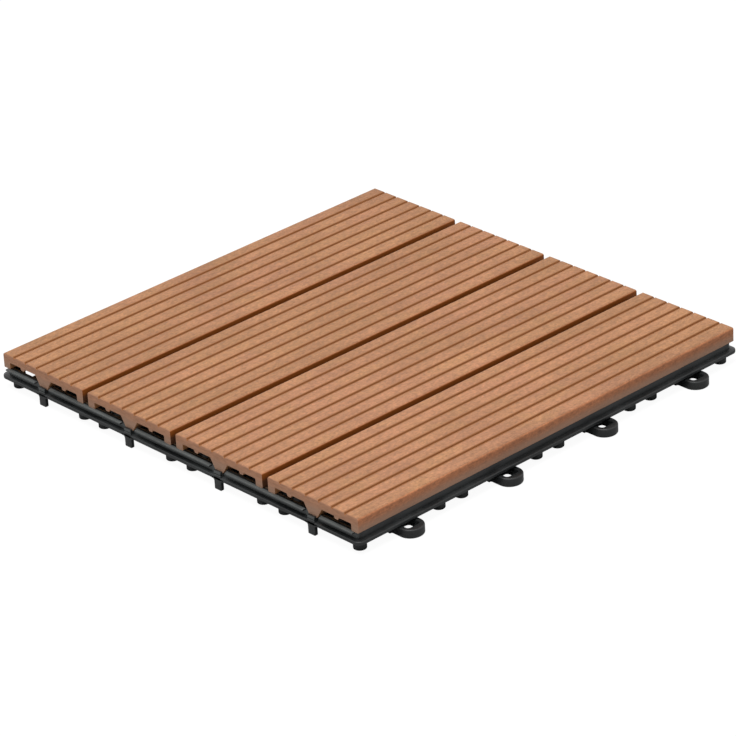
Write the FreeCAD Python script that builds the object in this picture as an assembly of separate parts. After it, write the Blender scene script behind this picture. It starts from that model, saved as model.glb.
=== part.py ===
import FreeCAD, Part
import math
import os

# Interlocking deck tile: four grooved slats screwed from below to one moulded grid base.
# Millimetres. +X runs across the slats, +Y runs along them and +Z is up.
# The origin is the middle of the tile, on the plane that the feet stand on.

# Laying pitch of the tiles, and the clearance between the rails of two neighbours
TILE_PITCH = 300.0
TILE_CLEARANCE = 0.8

# Slats: grooved on top, open below, with a keel down the middle
SLAT_COUNT = 4
SLAT_GAP = 4.6
SLAT_HEIGHT = 9.1
SLAT_EDGE_RADIUS = 1.3
SLAT_END_EASE = 0.9
PLATE_THICKNESS = 4.9
WALL_THICKNESS = 5.4
WALL_FOOT_RADIUS = 0.5
CEILING_RADIUS = 0.8
KEEL_WIDTH = 14.0
KEEL_TIP_WIDTH = 6.0
KEEL_TIP_RADIUS = 0.8
KEEL_DROP = 6.5
NIB_OFFSET = 18.4
NIB_WIDTH = 3.8
NIB_TIP_WIDTH = 2.4
NIB_DROP = 1.6
NIB_TIP_RADIUS = 0.5
GROOVE_COUNT = 6
GROOVE_PITCH = 10.18
GROOVE_WIDTH = 1.3
GROOVE_DEPTH = 1.3
GROOVE_SHOULDER_RADIUS = 0.6
GROOVE_FLOOR_RADIUS = 0.4

# Base: heights above the feet
SEAT_HEIGHT = 12.9
RAIL_BOTTOM = 6.1
RAIL_FACE_TOP = 8.0
RAIL_TOP = 8.8
LEDGE_THICKNESS = 1.0

# Base: the rail, the web that stands on it and the ledges, with setbacks from the rail's face
RAIL_CORNER_RADIUS = 4.0
RAIL_EDGE_BEVEL = 0.5
WEB_SETBACK = 2.6
WEB_CORNER_RADIUS = 3.5
WEB_THICKNESS = 2.2
LEDGE_END_SETBACK = 5.0

# Lattice of ribs inside the rail
RIBS_PER_SLAT = 3
RIB_THICKNESS = 1.8
KEEL_CLEARANCE = 0.35
LEDGE_NOTCH_WIDTH = 12.5

# Feet near the rail, and pads under every second crossing of the ribs
FOOT_RADIUS = 3.8
FOOT_BEVEL = 0.5
FOOT_SETBACK = 7.6
FOOT_SPREAD = 8.6
PAD_RADIUS = 4.2
PAD_BEVEL = 0.6
RIBS_PER_PAD = 2

# Loops on the +X and +Y sides, with distances from the rail's face
LOOP_HEIGHT = 5.3
LOOP_END_RADIUS = 7.65
LOOP_END_OUTREACH = 0.7
LOOP_HOLE_INSET = 5.7
LOOP_HOLE_OUTREACH = 3.5
LOOP_HOLE_WIDTH = 9.0
LOOP_HOLE_CORNER = 1.6
LOOP_ROOT_GAP = 0.6
LOOP_ROOT_DEPTH = 4.0
LOOP_ROOT_WIDTH = 17.6
LOOP_FLARE_RADIUS = 1.0
LOOP_EDGE_BEVEL = 0.5

# Pegs on the -X and -Y sides
PEG_WIDTH = 5.5
PEG_THICKNESS = 2.2
PEG_TIP_HEIGHT = 0.1
PEG_TIP_RADIUS = 0.5
PEG_FILLET = 1.2
PEG_SHOULDER = 1.0
PEG_CREST_DROP = 1.3
PEG_CREST_CLEARANCE = 0.2

# Screws, two into the keel of each slat, on the ribs this many lines from the middle
SCREW_RIB_LINE = 4
SCREW_SHANK_RADIUS = 1.75
SCREW_LENGTH = 9.5
SCREW_TIP_LENGTH = 1.6
SCREW_TIP_RADIUS = 0.4
SCREW_HEAD_RADIUS = 3.4
SCREW_HEAD_HEIGHT = 2.0
SCREW_HEAD_BEVEL = 0.9
SCREW_CLEARANCE = 0.25
RECESS_SPAN = 3.6
RECESS_WIDTH = 0.9
RECESS_DEPTH = 1.1
BOSS_RADIUS = 5.2
BOSS_FLOOR = 2.6
BOSS_RECESS_CLEARANCE = 0.5

# Lengths and lines that follow from the values above
SLAT_PITCH = TILE_PITCH / SLAT_COUNT
SLAT_WIDTH = SLAT_PITCH - SLAT_GAP
SLAT_LENGTH = TILE_PITCH - SLAT_GAP
RAIL_REACH = (TILE_PITCH - TILE_CLEARANCE) / 2
WEB_REACH = RAIL_REACH - WEB_SETBACK
LEDGE_HALF_LENGTH = RAIL_REACH - LEDGE_END_SETBACK
RIB_PITCH = SLAT_PITCH / RIBS_PER_SLAT
RIB_LINES_EACH_WAY = SLAT_COUNT * RIBS_PER_SLAT // 2 - 1
FOOT_LINE = RAIL_REACH - FOOT_SETBACK
PAD_PITCH = RIB_PITCH * RIBS_PER_PAD
PAD_LINES_EACH_WAY = RIB_LINES_EACH_WAY // RIBS_PER_PAD
LOOP_END_CENTRE = RAIL_REACH + LOOP_END_OUTREACH
LOOP_HOLE_INNER = RAIL_REACH - LOOP_HOLE_INSET
LOOP_HOLE_OUTER = RAIL_REACH + LOOP_HOLE_OUTREACH
LOOP_ROOT_FRONT = LOOP_HOLE_INNER - LOOP_ROOT_GAP
PEG_CREST_HEIGHT = SEAT_HEIGHT - PEG_CREST_DROP
SCREW_OFFSET = RIB_PITCH * SCREW_RIB_LINE
SLAT_TOP = SEAT_HEIGHT + SLAT_HEIGHT
CEILING = SLAT_TOP - PLATE_THICKNESS
KEEL_TIP = CEILING - KEEL_DROP
SCREW_SEAT = KEEL_TIP - BOSS_FLOOR
SCREW_TIP = SCREW_SEAT + SCREW_LENGTH
SLAT_CENTRES = [SLAT_PITCH * (i - (SLAT_COUNT - 1) / 2) for i in range(SLAT_COUNT)]
SLAT_JOINTS = [SLAT_PITCH * (i - SLAT_COUNT / 2) for i in range(1, SLAT_COUNT)]

# Cutters run past the faces that they cut by this much
OVERRUN = 1.0

UP = FreeCAD.Vector(0, 0, 1)
ORIGIN = FreeCAD.Vector(0, 0, 0)


def on_plan(u, v):
    """Point on the plane of the feet."""
    return FreeCAD.Vector(u, v, 0)


def on_section(u, v):
    """Point on the upright plane through the middle of the tile, across the slats."""
    return FreeCAD.Vector(u, 0, v)


def rounded_wire(corners, place):
    """Closed wire through corners (u, v, radius), each rounded by its own radius."""
    points = [place(u, v) for u, v, _ in corners]
    edges = []
    stretches = []
    for index, (_, _, radius) in enumerate(corners):
        here = points[index]
        back = (points[index - 1] - here).normalize()
        ahead = (points[(index + 1) % len(points)] - here).normalize()
        if radius == 0:
            stretches.append((here, here))
            continue
        half_angle = back.getAngle(ahead) / 2
        setback = radius / math.tan(half_angle)
        inward = (back + ahead).normalize()
        middle = here + inward * (radius / math.sin(half_angle) - radius)
        start = here + back * setback
        end = here + ahead * setback
        edges.append(Part.Arc(start, middle, end).toShape())
        stretches.append((start, end))
    for index, (_, end) in enumerate(stretches):
        start = stretches[(index + 1) % len(stretches)][0]
        if end.distanceToPoint(start) > 1e-6:
            edges.append(Part.LineSegment(end, start).toShape())
    return Part.Wire(Part.__sortEdges__(edges))


def square_wire(reach, radius):
    """Square outline on the plan, with its sides at the given reach and rounded corners."""
    signs = [(-1, -1), (1, -1), (1, 1), (-1, 1)]
    return rounded_wire([(reach * sx, reach * sy, radius) for sx, sy in signs], on_plan)


def prism(outer, holes, bottom, top):
    """Upright prism over a plan outline with holes in it."""
    face = Part.makeFace([outer, *holes], "Part::FaceMakerBullseye")
    solid = face.extrude(UP * (top - bottom))
    solid.translate(UP * bottom)
    return solid


def box(x_range, y_range, z_range):
    """Box between two values on each axis."""
    spans = [high - low for low, high in (x_range, y_range, z_range)]
    corner = FreeCAD.Vector(x_range[0], y_range[0], z_range[0])
    return Part.makeBox(*spans, corner)


def turned(outline):
    """Solid of revolution about the Z axis from corners (radius, height)."""
    wire = rounded_wire([(radius, height, 0) for radius, height in outline], on_section)
    return Part.Face(wire).revolve(ORIGIN, UP, 360)


def moved(shape, x, y):
    """Copy of a shape, shifted on the plan."""
    copy = shape.copy()
    copy.translate(FreeCAD.Vector(x, y, 0))
    return copy


def quarter_turned(shape, quarters):
    """Copy of a shape, turned about the middle of the tile by quarter turns."""
    copy = shape.copy()
    copy.rotate(ORIGIN, UP, 90 * quarters)
    return copy


def keel_half_width(height):
    """Half the width of a slat's keel at a height."""
    rise = (height - KEEL_TIP) / KEEL_DROP
    return (KEEL_TIP_WIDTH + (KEEL_WIDTH - KEEL_TIP_WIDTH) * rise) / 2


def groove_corners(centre):
    """Corners of one groove, from its +X shoulder to its -X shoulder."""
    half = GROOVE_WIDTH / 2
    floor = SLAT_TOP - GROOVE_DEPTH
    return [
        (centre + half, SLAT_TOP, GROOVE_SHOULDER_RADIUS),
        (centre + half, floor, GROOVE_FLOOR_RADIUS),
        (centre - half, floor, GROOVE_FLOOR_RADIUS),
        (centre - half, SLAT_TOP, GROOVE_SHOULDER_RADIUS),
    ]


def underside_corners():
    """Corners of a slat's underside, from the -X wall's foot to the keel's tip."""
    edge = SLAT_WIDTH / 2
    wall = edge - WALL_THICKNESS
    return [
        (-edge, SEAT_HEIGHT, WALL_FOOT_RADIUS),
        (-wall, SEAT_HEIGHT, WALL_FOOT_RADIUS),
        (-wall, CEILING, CEILING_RADIUS),
        (-NIB_OFFSET - NIB_WIDTH / 2, CEILING, 0),
        (-NIB_OFFSET - NIB_TIP_WIDTH / 2, CEILING - NIB_DROP, NIB_TIP_RADIUS),
        (-NIB_OFFSET + NIB_TIP_WIDTH / 2, CEILING - NIB_DROP, NIB_TIP_RADIUS),
        (-NIB_OFFSET + NIB_WIDTH / 2, CEILING, 0),
        (-KEEL_WIDTH / 2, CEILING, CEILING_RADIUS),
        (-KEEL_TIP_WIDTH / 2, KEEL_TIP, KEEL_TIP_RADIUS),
    ]


def slat_section():
    """Section across one slat, about its own middle."""
    edge = SLAT_WIDTH / 2
    left = underside_corners()
    right = [(-u, v, radius) for u, v, radius in reversed(left)]
    corners = left + right
    corners.append((edge, SLAT_TOP, SLAT_EDGE_RADIUS))
    for index in reversed(range(GROOVE_COUNT)):
        corners += groove_corners(GROOVE_PITCH * (index - (GROOVE_COUNT - 1) / 2))
    corners.append((-edge, SLAT_TOP, SLAT_EDGE_RADIUS))
    return rounded_wire(corners, on_section)


def end_ease_cutter():
    """Bar that rounds the top edge at the +Y end of a slat."""
    reach = SLAT_WIDTH / 2 + OVERRUN
    end = SLAT_LENGTH / 2
    inner = end - SLAT_END_EASE
    low = SLAT_TOP - SLAT_END_EASE
    bar = box((-reach, reach), (inner, end + OVERRUN), (low, SLAT_TOP + OVERRUN))
    start = FreeCAD.Vector(-reach, inner, low)
    core = Part.makeCylinder(SLAT_END_EASE, 2 * reach, start, FreeCAD.Vector(1, 0, 0))
    return bar.cut(core)


def slat(centre):
    """One slat, with pilot holes for its two screws."""
    run = FreeCAD.Vector(0, SLAT_LENGTH, 0)
    body = moved(Part.Face(slat_section()), 0, -SLAT_LENGTH / 2).extrude(run)
    ease = end_ease_cutter()
    cutters = [ease, quarter_turned(ease, 2)]
    for side in (-1, 1):
        cutters.append(moved(screw_shank(), 0, side * SCREW_OFFSET))
    return moved(body.cut(cutters), centre, 0)


def rib_lines():
    """Lines of the lattice's ribs on either axis."""
    return [RIB_PITCH * i for i in range(-RIB_LINES_EACH_WAY, RIB_LINES_EACH_WAY + 1)]


def cell_spans():
    """Clear spans between the ribs on either axis, the web's inner faces included."""
    wall = WEB_REACH - WEB_THICKNESS
    half = RIB_THICKNESS / 2
    lines = rib_lines()
    lows = [-wall] + [line + half for line in lines]
    highs = [line - half for line in lines] + [wall]
    return list(zip(lows, highs))


def cell_wire(x_span, y_span):
    """Outline of one open cell of the lattice."""
    corners = [(x_span[0], y_span[0]), (x_span[1], y_span[0])]
    corners += [(x_span[1], y_span[1]), (x_span[0], y_span[1])]
    return rounded_wire([(u, v, 0) for u, v in corners], on_plan)


def lattice():
    """Web round the tile and the ribs inside it, from one plan with open cells."""
    spans = cell_spans()
    cells = [cell_wire(x_span, y_span) for x_span in spans for y_span in spans]
    outline = square_wire(WEB_REACH, WEB_CORNER_RADIUS)
    return prism(outline, cells, RAIL_BOTTOM, SEAT_HEIGHT)


def rail():
    """Low rail round the web, with bevelled edges and a shoulder that slopes to the web."""
    band = prism(square_wire(RAIL_REACH, RAIL_CORNER_RADIUS), [], RAIL_BOTTOM, RAIL_FACE_TOP)
    long_edges = [edge for edge in band.Edges if is_level(edge)]
    band = band.makeChamfer(RAIL_EDGE_BEVEL, long_edges)
    low = square_wire(RAIL_REACH - RAIL_EDGE_BEVEL, RAIL_CORNER_RADIUS - RAIL_EDGE_BEVEL)
    low.translate(UP * RAIL_FACE_TOP)
    high = square_wire(WEB_REACH, WEB_CORNER_RADIUS)
    high.translate(UP * RAIL_TOP)
    shoulder = Part.makeLoft([low, high], True, True)
    hollow = square_wire(WEB_REACH - WEB_THICKNESS / 2, WEB_CORNER_RADIUS)
    core = prism(hollow, [], RAIL_BOTTOM - OVERRUN, RAIL_TOP + OVERRUN)
    return band.fuse(shoulder).cut(core)


def is_level(edge):
    """Whether an edge lies in one level plane."""
    return edge.BoundBox.ZLength < 1e-6


def ledges():
    """Ledges under the slats' ends, on the -Y and +Y sides, parted at each keel."""
    low = SEAT_HEIGHT - LEDGE_THICKNESS
    inner = WEB_REACH - WEB_THICKNESS / 2
    strip = box((-LEDGE_HALF_LENGTH, LEDGE_HALF_LENGTH), (inner, RAIL_REACH), (low, SEAT_HEIGHT))
    half = LEDGE_NOTCH_WIDTH / 2
    notches = []
    for centre in SLAT_CENTRES:
        across = (centre - half, centre + half)
        notches.append(box(across, (WEB_REACH, RAIL_REACH + OVERRUN), (low, SEAT_HEIGHT)))
    strip = strip.cut(notches)
    return [strip, quarter_turned(strip, 2)]


def keel_slots():
    """Cutters that clear the ribs, the web and the ledges for the keels."""
    floor = KEEL_TIP - KEEL_CLEARANCE
    top = SEAT_HEIGHT + OVERRUN
    low = keel_half_width(floor) + KEEL_CLEARANCE
    high = keel_half_width(top) + KEEL_CLEARANCE
    corners = [(-low, floor, 0), (low, floor, 0), (high, top, 0), (-high, top, 0)]
    reach = RAIL_REACH + OVERRUN
    face = Part.Face(rounded_wire(corners, on_section))
    bar = moved(face, 0, -reach).extrude(FreeCAD.Vector(0, 2 * reach, 0))
    return [moved(bar, centre, 0) for centre in SLAT_CENTRES]


def post(radius, bevel):
    """Round post from the ground to the rail's top, bevelled at its foot."""
    return turned([(0, 0), (radius - bevel, 0), (radius, bevel), (radius, RAIL_TOP), (0, RAIL_TOP)])


def feet():
    """Round feet inside the rail, in pairs at the slats' joints and one at each corner."""
    foot = post(FOOT_RADIUS, FOOT_BEVEL)
    spots = []
    for along in SLAT_JOINTS:
        spots += [along - FOOT_SPREAD, along + FOOT_SPREAD]
    spots.append(FOOT_LINE)
    return [
        quarter_turned(moved(foot, FOOT_LINE, along), quarters)
        for quarters in range(4)
        for along in spots
    ]


def pads():
    """Flat pads under every second crossing of the ribs."""
    pad = post(PAD_RADIUS, PAD_BEVEL)
    lines = [PAD_PITCH * i for i in range(-PAD_LINES_EACH_WAY, PAD_LINES_EACH_WAY + 1)]
    return [moved(pad, x, y) for x in lines for y in lines]


def loop_outline():
    """Plan of one loop on the +X side, about its own middle line, root included."""
    back = LOOP_ROOT_FRONT - LOOP_ROOT_DEPTH
    side = LOOP_END_RADIUS
    root = LOOP_ROOT_WIDTH / 2
    tip = LOOP_END_CENTRE + LOOP_END_RADIUS
    return rounded_wire(
        [
            (back, -root, 0),
            (LOOP_ROOT_FRONT, -root, 0),
            (LOOP_ROOT_FRONT, -side, LOOP_FLARE_RADIUS),
            (tip, -side, LOOP_END_RADIUS),
            (tip, side, LOOP_END_RADIUS),
            (LOOP_ROOT_FRONT, side, LOOP_FLARE_RADIUS),
            (LOOP_ROOT_FRONT, root, 0),
            (back, root, 0),
        ],
        on_plan,
    )


def loop_hole():
    """Plan of the hole in one loop."""
    half = LOOP_HOLE_WIDTH / 2
    corners = [(LOOP_HOLE_INNER, -half), (LOOP_HOLE_OUTER, -half)]
    corners += [(LOOP_HOLE_OUTER, half), (LOOP_HOLE_INNER, half)]
    return rounded_wire([(u, v, LOOP_HOLE_CORNER) for u, v in corners], on_plan)


def loop():
    """One loop on the +X side: a flat eye, its legs under the rail and its root."""
    eye = prism(loop_outline(), [], 0, LOOP_HEIGHT)
    rim = [edge for edge in eye.Edges if is_level(edge) and edge.CenterOfMass.x > LOOP_END_CENTRE]
    eye = eye.makeChamfer(LOOP_EDGE_BEVEL, rim)
    hole = prism(loop_hole(), [], -OVERRUN, LOOP_HEIGHT + OVERRUN)
    half = LOOP_END_RADIUS
    behind_web = WEB_REACH - WEB_THICKNESS / 2
    legs = box((LOOP_ROOT_FRONT, behind_web), (-half, half), (0, RAIL_BOTTOM))
    root_back = LOOP_ROOT_FRONT - LOOP_ROOT_DEPTH
    root_half = LOOP_ROOT_WIDTH / 2
    root = box((root_back, LOOP_ROOT_FRONT), (-root_half, root_half), (0, RAIL_BOTTOM))
    rib = RIB_PITCH / 2
    bridge = box((root_back, behind_web), (-rib, rib), (RAIL_BOTTOM, RAIL_TOP))
    low_hole = prism(loop_hole(), [], -OVERRUN, RAIL_BOTTOM)
    return eye.cut(hole).fuse([legs.cut(low_hole), root.cut(low_hole), bridge])


def loops():
    """Four loops on the +X side and four on the +Y side."""
    eye = loop()
    row = [moved(eye, 0, centre) for centre in SLAT_CENTRES]
    return row + [quarter_turned(each, 1) for each in row]


def peg():
    """One peg on the -Y side: a blade flush with the rail and a crest over the channel."""
    half = PEG_WIDTH / 2
    shoulder = half + PEG_FILLET + PEG_SHOULDER
    outline = [
        (-half, PEG_TIP_HEIGHT, PEG_TIP_RADIUS),
        (half, PEG_TIP_HEIGHT, PEG_TIP_RADIUS),
        (half, RAIL_BOTTOM, PEG_FILLET),
        (shoulder, RAIL_BOTTOM, 0),
        (shoulder, RAIL_FACE_TOP - RAIL_EDGE_BEVEL, 0),
        (-shoulder, RAIL_FACE_TOP - RAIL_EDGE_BEVEL, 0),
        (-shoulder, RAIL_BOTTOM, 0),
        (-half, RAIL_BOTTOM, PEG_FILLET),
    ]
    face = moved(Part.Face(rounded_wire(outline, on_section)), 0, -RAIL_REACH)
    blade = face.extrude(FreeCAD.Vector(0, PEG_THICKNESS, 0))
    slot_floor = KEEL_TIP - KEEL_CLEARANCE
    inner = WEB_REACH - WEB_THICKNESS / 2
    column = box((-half, half), (-RAIL_REACH, -inner), (RAIL_BOTTOM, slot_floor))
    crest_back = SLAT_LENGTH / 2 + PEG_CREST_CLEARANCE
    crest = box((-half, half), (-RAIL_REACH, -crest_back), (slot_floor, PEG_CREST_HEIGHT))
    return blade.fuse([column, crest])


def pegs():
    """Four pegs on the -Y side and four on the -X side."""
    blade = peg()
    row = [moved(blade, centre, 0) for centre in SLAT_CENTRES]
    return row + [quarter_turned(each, -1) for each in row]


def screw_spots():
    """Plan positions of the screws."""
    return [(x, side * SCREW_OFFSET) for x in SLAT_CENTRES for side in (-1, 1)]


def bosses():
    """Round bosses under the keels that the screws pass through."""
    boss = Part.makeCylinder(BOSS_RADIUS, KEEL_TIP - RAIL_BOTTOM, UP * RAIL_BOTTOM)
    return [moved(boss, x, y) for x, y in screw_spots()]


def boss_holes():
    """Cutters for the screws' shanks and for their heads."""
    shank_radius = SCREW_SHANK_RADIUS + SCREW_CLEARANCE
    head_radius = SCREW_HEAD_RADIUS + BOSS_RECESS_CLEARANCE
    low = RAIL_BOTTOM - OVERRUN
    shank = Part.makeCylinder(shank_radius, KEEL_TIP + OVERRUN - low, UP * low)
    head = Part.makeCylinder(head_radius, SCREW_SEAT - low, UP * low)
    hole = shank.fuse(head)
    return [moved(hole, x, y) for x, y in screw_spots()]


def base_grid():
    """The moulded base: lattice, rail, ledges, feet, pads, loops, pegs and screw bosses."""
    body = lattice().fuse([rail(), *ledges()])
    body = body.cut(keel_slots())
    body = body.fuse([*feet(), *pads(), *loops(), *pegs(), *bosses()])
    return body.cut(boss_holes()).removeSplitter()


def screw_shank():
    """Shank of one screw with its blunt point, on the Z axis."""
    return turned([
        (0, SCREW_SEAT),
        (SCREW_SHANK_RADIUS, SCREW_SEAT),
        (SCREW_SHANK_RADIUS, SCREW_TIP - SCREW_TIP_LENGTH),
        (SCREW_TIP_RADIUS, SCREW_TIP),
        (0, SCREW_TIP),
    ])


def screw():
    """One round-headed screw on the Z axis, its head below, with a crossed recess."""
    bottom = SCREW_SEAT - SCREW_HEAD_HEIGHT
    head = turned([
        (0, bottom),
        (SCREW_HEAD_RADIUS - SCREW_HEAD_BEVEL, bottom),
        (SCREW_HEAD_RADIUS, bottom + SCREW_HEAD_BEVEL),
        (SCREW_HEAD_RADIUS, SCREW_SEAT),
        (0, SCREW_SEAT),
    ])
    long = RECESS_SPAN / 2
    thin = RECESS_WIDTH / 2
    depth = (bottom - OVERRUN, bottom + RECESS_DEPTH)
    bars = [box((-long, long), (-thin, thin), depth), box((-thin, thin), (-long, long), depth)]
    return head.fuse(screw_shank()).cut(bars).removeSplitter()


def slat_screws():
    """All the screws, as separate solids of one node."""
    one = screw()
    return Part.makeCompound([moved(one, x, y) for x, y in screw_spots()])


def main():
    """Builds each piece and writes it to its own file."""
    os.makedirs("parts", exist_ok=True)
    pieces = {f"slat_{i + 1}": slat(centre) for i, centre in enumerate(SLAT_CENTRES)}
    pieces["base_grid"] = base_grid()
    pieces["slat_screws"] = slat_screws()
    for name, shape in pieces.items():
        solids = len(shape.Solids)
        print(f"{name}: {solids} solid(s), {shape.Volume / 1000:.2f} cm3, valid {shape.isValid()}")
        shape.exportStep(f"parts/{name}.step")


main()
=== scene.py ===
import logging
import math
from dataclasses import dataclass
from enum import Enum
from typing import Iterable, Sequence

import bmesh
import bpy
from mathutils import Matrix, Vector


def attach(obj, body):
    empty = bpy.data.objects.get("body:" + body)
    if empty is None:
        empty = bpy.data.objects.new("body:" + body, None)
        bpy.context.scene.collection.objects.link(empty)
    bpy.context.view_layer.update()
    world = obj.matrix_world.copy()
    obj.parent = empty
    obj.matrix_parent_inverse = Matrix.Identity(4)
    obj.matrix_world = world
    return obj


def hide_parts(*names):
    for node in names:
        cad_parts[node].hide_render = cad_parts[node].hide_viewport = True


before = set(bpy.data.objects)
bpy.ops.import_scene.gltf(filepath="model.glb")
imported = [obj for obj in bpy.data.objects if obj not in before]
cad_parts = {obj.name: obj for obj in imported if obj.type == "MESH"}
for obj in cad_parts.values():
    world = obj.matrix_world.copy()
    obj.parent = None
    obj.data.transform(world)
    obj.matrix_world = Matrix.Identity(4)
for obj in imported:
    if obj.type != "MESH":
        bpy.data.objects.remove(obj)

LOG = logging.getLogger("deck_tile")
MM = 0.001

Corner = tuple[float, float, float]
Point2 = tuple[float, float]
Colour = tuple[float, float, float, float]
Cells = tuple[float, float, float]
Spread = tuple[float, float]
NOISE_RANGE: Spread = (0.3, 0.7)


class Ride(Enum):
    """Names of the body, and of the record's slots, that the pieces go with."""

    BODY = "root"
    COMPOSITE = "composite"
    PLASTIC = "base_plastic"
    STEEL = "screw_steel"


# Outlines


def rounded_outline(corners: Sequence[Corner], steps: int = 5) -> list[Point2]:
    """Rounds the corners of a closed outline.

    Args:
        corners: Corners as (u, v, radius), in order.
        steps: Spans in each rounded corner.

    Returns:
        The outline's points, in the same order.
    """
    points: list[Point2] = []
    for index, (u, v, radius) in enumerate(corners):
        here = Vector((u, v))
        if radius == 0:
            points.append((u, v))
            continue
        back = (Vector(corners[index - 1][:2]) - here).normalized()
        ahead = (Vector(corners[(index + 1) % len(corners)][:2]) - here).normalized()
        half = back.angle(ahead) / 2
        start = here + back * (radius / math.tan(half))
        end = here + ahead * (radius / math.tan(half))
        centre = here + (back + ahead).normalized() * (radius / math.sin(half))
        for step in range(steps + 1):
            arm = (start - centre).slerp(end - centre, step / steps)
            points.append(tuple(centre + radius * arm.normalized()))
    return points


def square_loop(reach: float, radius: float, marks: Sequence[float], steps: int = 6) -> list[Point2]:
    """Outline of a square with rounded corners and a point at each mark of its sides.

    Args:
        reach: Distance of the sides from the middle.
        radius: Radius of the corners.
        marks: Places along every side, rising.
        steps: Spans in each corner.

    Returns:
        The outline's points, anticlockwise from the -Y side.
    """
    side = [Vector((mark, -reach)) for mark in marks]
    middle = Vector((reach - radius, radius - reach))
    for step in range(steps + 1):
        angle = math.radians(-90 + 90 * step / steps)
        side.append(middle + radius * Vector((math.cos(angle), math.sin(angle))))
    loop: list[Point2] = []
    for turns in range(4):
        turn = Matrix.Rotation(math.radians(90 * turns), 2)
        loop += [tuple(turn @ point) for point in side]
    return loop


def quarter(turns: int) -> Matrix:
    """Turn about the middle of the tile by quarter turns."""
    return Matrix.Rotation(math.radians(90 * turns), 4, "Z")


def shift(x: float, y: float, z: float = 0.0) -> Matrix:
    """Move by the given lengths."""
    return Matrix.Translation((x, y, z))


# Solids


def bridge(shell: bmesh.types.BMesh, loops: Sequence[Sequence[bmesh.types.BMVert]], closed: bool) -> None:
    """Joins loops of vertices with quads.

    Args:
        shell: Mesh that holds the vertices.
        loops: Loops with the same number of vertices.
        closed: Whether the last loop joins the first.
    """
    pairs = list(zip(loops, loops[1:]))
    if closed:
        pairs.append((loops[-1], loops[0]))
    for low, high in pairs:
        for index, vert in enumerate(low):
            after = (index + 1) % len(low)
            corners = [vert, low[after], high[after], high[index]]
            corners = list(dict.fromkeys(corners))
            if len(corners) > 2:
                shell.faces.new(corners)


def soften(shell: bmesh.types.BMesh, width: float, segments: int = 2, angle: float = 30.0) -> None:
    """Rounds the sharp edges of a solid.

    Args:
        shell: Mesh to round.
        width: Width of the rounding.
        segments: Faces across the rounding.
        angle: Smallest turn, in degrees, that counts as sharp.
    """
    shell.normal_update()
    limit = math.radians(angle)
    sharp = [edge for edge in shell.edges if len(edge.link_faces) == 2 and edge.calc_face_angle(0.0) > limit]
    bmesh.ops.bevel(
        shell, geom=sharp, offset=width, offset_type="OFFSET", segments=segments, profile=0.5,
        affect="EDGES", clamp_overlap=True,
    )


def soft_box(low: Sequence[float], high: Sequence[float], rounding: float) -> bmesh.types.BMesh:
    """Box between two corners, with rounded edges.

    Args:
        low: The corner with the smallest coordinates.
        high: The corner with the largest coordinates.
        rounding: Width of the rounding of its edges.

    Returns:
        The box.
    """
    shell = bmesh.new()
    size = Vector(high) - Vector(low)
    middle = (Vector(high) + Vector(low)) / 2
    place = Matrix.Translation(middle) @ Matrix.Diagonal((*size, 1.0))
    bmesh.ops.create_cube(shell, size=1.0, matrix=place)
    soften(shell, rounding)
    return shell


def turned(profile: Sequence[Point2], segments: int = 32, closed: bool = False) -> bmesh.types.BMesh:
    """Solid of revolution about the Z axis.

    Args:
        profile: Points as (radius, height). An open profile starts and ends on the axis.
        segments: Faces round the axis.
        closed: Whether the profile is a ring that stays off the axis.

    Returns:
        The solid.
    """
    shell = bmesh.new()
    loops = []
    for radius, height in profile:
        if radius == 0:
            loops.append([shell.verts.new((0, 0, height))] * segments)
            continue
        angles = [2 * math.pi * index / segments for index in range(segments)]
        spots = [(radius * math.cos(a), radius * math.sin(a), height) for a in angles]
        loops.append([shell.verts.new(spot) for spot in spots])
    bridge(shell, loops, closed)
    bmesh.ops.recalc_face_normals(shell, faces=shell.faces)
    return shell


def plate(outlines: Sequence[Sequence[Point2]], low: float, high: float,
          rounding: float) -> bmesh.types.BMesh:
    """Flat plate over an outline and its holes, with rounded rims.

    Args:
        outlines: The outer outline and the holes' outlines.
        low: Height of the lower face.
        high: Height of the upper face.
        rounding: Radius of the rims.

    Returns:
        The plate.
    """
    curve = bpy.data.curves.new("plate_outline", "CURVE")
    curve.dimensions = "2D"
    curve.fill_mode = "BOTH"
    curve.extrude = (high - low) / 2 - rounding
    curve.bevel_depth = rounding
    curve.bevel_resolution = 2
    curve.offset = -rounding
    for outline in outlines:
        spline = curve.splines.new("POLY")
        spline.points.add(len(outline) - 1)
        for point, (u, v) in zip(spline.points, outline):
            point.co = (u, v, 0, 1)
        spline.use_cyclic_u = True
    carrier = bpy.data.objects.new("plate_outline", curve)
    data = bpy.data.meshes.new_from_object(carrier)
    shell = bmesh.new()
    shell.from_mesh(data)
    bmesh.ops.remove_doubles(shell, verts=shell.verts, dist=1e-7)
    bmesh.ops.translate(shell, verts=shell.verts, vec=(0, 0, (high + low) / 2))
    bmesh.ops.recalc_face_normals(shell, faces=shell.faces)
    bpy.data.objects.remove(carrier)
    bpy.data.curves.remove(curve)
    bpy.data.meshes.remove(data)
    return shell


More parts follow.
